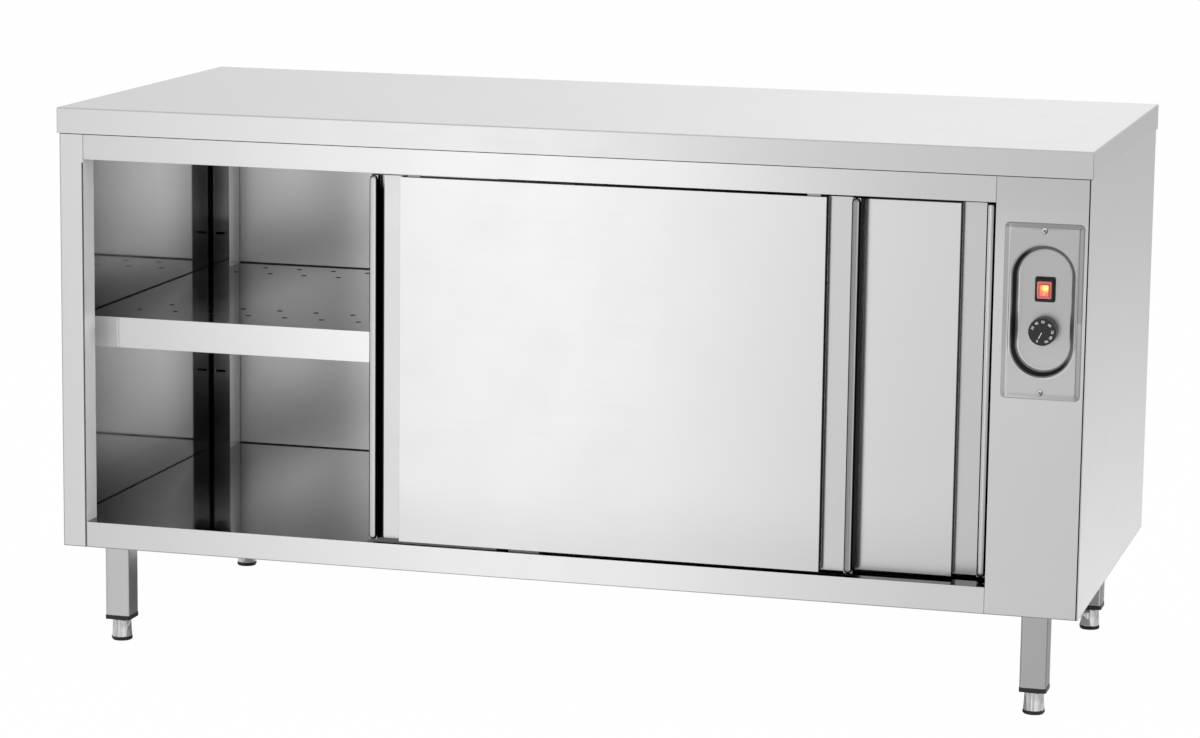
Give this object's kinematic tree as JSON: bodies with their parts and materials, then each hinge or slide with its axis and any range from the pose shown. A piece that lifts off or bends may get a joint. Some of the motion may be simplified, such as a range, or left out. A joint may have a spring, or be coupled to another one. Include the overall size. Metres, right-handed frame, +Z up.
{
  "type": "heated plate warmer cabinet",
  "caption": "Stainless heated cupboard with worktop, sliding doors on hanger rollers, perforated shelf, control column with lit switch and thermostat, and square legs with levelling feet.",
  "frame": {"origin": "on the floor below the centre of the cabinet", "axes": "+Z up, +X to the right seen from the front, -Y towards the doors"},
  "size_m": [1.6, 0.7, 0.85],
  "materials": {
    "worktop_steel": "fine satin, grain along the cabinet's width",
    "panel_steel": "fine satin stainless sheet",
    "bright_steel": "bright annealed, mirror-like inside the cupboard",
    "hidden_steel": "mill finish",
    "control_steel": "pressed satin sheet",
    "screw_steel": "bright",
    "foot_steel": "turned and polished",
    "black_plastic": "moulded",
    "knob_plastic": "moulded, white figures",
    "rocker_red": "translucent red, lit",
    "nylon": "moulded nylon",
    "thermostat_metal": "plain",
    "copper_tube": "drawn copper",
    "heater_sheath": "oxidised",
    "motor_metal": "laminated core, painted",
    "ceramic_white": "moulded"
  },
  "bodies": {
    "cabinet": {"worktop": "worktop_steel", "worktop_ribs": "hidden_steel", "left_side_panel": "panel_steel", "right_side_panel": "panel_steel", "back_panel": "panel_steel", "left_stile": "panel_steel", "top_rail": "panel_steel", "bottom_rail": "panel_steel", "control_fascia": "panel_steel", "base_deck": "bright_steel", "partition_panel": "bright_steel", "corner_posts": "bright_steel", "shelf": "bright_steel", "shelf_rails": "bright_steel", "door_track": "hidden_steel", "door_floor_guide": "nylon", "base_beams": "hidden_steel", "leg_front_left": "panel_steel", "leg_front_right": "panel_steel", "leg_back_left": "panel_steel", "leg_back_right": "panel_steel", "leg_plugs": "black_plastic", "control_plate": "control_steel", "plate_screws": "screw_steel", "switch_housing": "black_plastic", "thermostat_body": "thermostat_metal", "thermostat_bulb": "copper_tube", "fan_casing": "hidden_steel", "heater_element": "heater_sheath", "fan_motor": "motor_metal", "motor_bracket": "hidden_steel", "terminal_block": "ceramic_white", "cable_gland": "black_plastic"},
    "front_door": {"front_door_skin": "panel_steel", "front_door_liner": "bright_steel", "front_door_hangers": "hidden_steel"},
    "front_door_roller_left": {"front_roller_left": "nylon"},
    "front_door_roller_right": {"front_roller_right": "nylon"},
    "rear_door": {"rear_door_skin": "panel_steel", "rear_door_liner": "bright_steel", "rear_door_hangers": "hidden_steel"},
    "rear_door_roller_left": {"rear_roller_left": "nylon"},
    "rear_door_roller_right": {"rear_roller_right": "nylon"},
    "rocker": {"rocker": "rocker_red"},
    "knob": {"control_knob": "knob_plastic", "thermostat_shaft": "screw_steel"},
    "fan_rotor": {"fan_shaft": "screw_steel", "fan_wheel": "hidden_steel"},
    "foot_front_left": {"foot_stem_front_left": "foot_steel", "foot_base_front_left": "black_plastic"},
    "foot_front_right": {"foot_stem_front_right": "foot_steel", "foot_base_front_right": "black_plastic"},
    "foot_back_left": {"foot_stem_back_left": "foot_steel", "foot_base_back_left": "black_plastic"},
    "foot_back_right": {"foot_stem_back_right": "foot_steel", "foot_base_back_right": "black_plastic"}
  },
  "joints": [
    {"name": "front_door_slide", "type": "slide", "parent": "cabinet", "child": "front_door", "axis": [1, 0, 0], "range_m": [-0.455, 0.193]},
    {"name": "rear_door_slide", "type": "slide", "parent": "cabinet", "child": "rear_door", "axis": [1, 0, 0], "range_m": [-0.648, 0]},
    {"name": "front_roller_left_spin", "type": "hinge", "parent": "front_door", "child": "front_door_roller_left", "pos_m": [-0.227, -0.3272, 0.8098], "axis": [0, 1, 0], "continuous": true},
    {"name": "front_roller_right_spin", "type": "hinge", "parent": "front_door", "child": "front_door_roller_right", "pos_m": [0.389, -0.3272, 0.8098], "axis": [0, 1, 0], "continuous": true},
    {"name": "rear_roller_left_spin", "type": "hinge", "parent": "rear_door", "child": "rear_door_roller_left", "pos_m": [-0.034, -0.2912, 0.8098], "axis": [0, 1, 0], "continuous": true},
    {"name": "rear_roller_right_spin", "type": "hinge", "parent": "rear_door", "child": "rear_door_roller_right", "pos_m": [0.582, -0.2912, 0.8098], "axis": [0, 1, 0], "continuous": true},
    {"name": "rocker_tilt", "type": "hinge", "parent": "cabinet", "child": "rocker", "pos_m": [0.732, -0.3275, 0.644], "axis": [1, 0, 0], "range_deg": [-12, 0]},
    {"name": "knob_turn", "type": "hinge", "parent": "cabinet", "child": "knob", "pos_m": [0.732, -0.3235, 0.584], "axis": [0, 1, 0], "range_deg": [0, 300]},
    {"name": "fan_spin", "type": "hinge", "parent": "cabinet", "child": "fan_rotor", "pos_m": [0.7, 0.0405, 0.445], "axis": [1, 0, 0], "continuous": true},
    {"name": "foot_front_left_travel", "type": "slide", "parent": "cabinet", "child": "foot_front_left", "axis": [0, 0, -1], "range_m": [0, 0.05]},
    {"name": "foot_front_right_travel", "type": "slide", "parent": "cabinet", "child": "foot_front_right", "axis": [0, 0, -1], "range_m": [0, 0.05]},
    {"name": "foot_back_left_travel", "type": "slide", "parent": "cabinet", "child": "foot_back_left", "axis": [0, 0, -1], "range_m": [0, 0.05]},
    {"name": "foot_back_right_travel", "type": "slide", "parent": "cabinet", "child": "foot_back_right", "axis": [0, 0, -1], "range_m": [0, 0.05]}
  ],
  "couplings": [
    {"joint": "front_roller_left_spin", "follows": "front_door_slide", "rad_per_m": 100},
    {"joint": "front_roller_right_spin", "follows": "front_door_slide", "rad_per_m": 100},
    {"joint": "rear_roller_left_spin", "follows": "rear_door_slide", "rad_per_m": 100},
    {"joint": "rear_roller_right_spin", "follows": "rear_door_slide", "rad_per_m": 100}
  ]
}
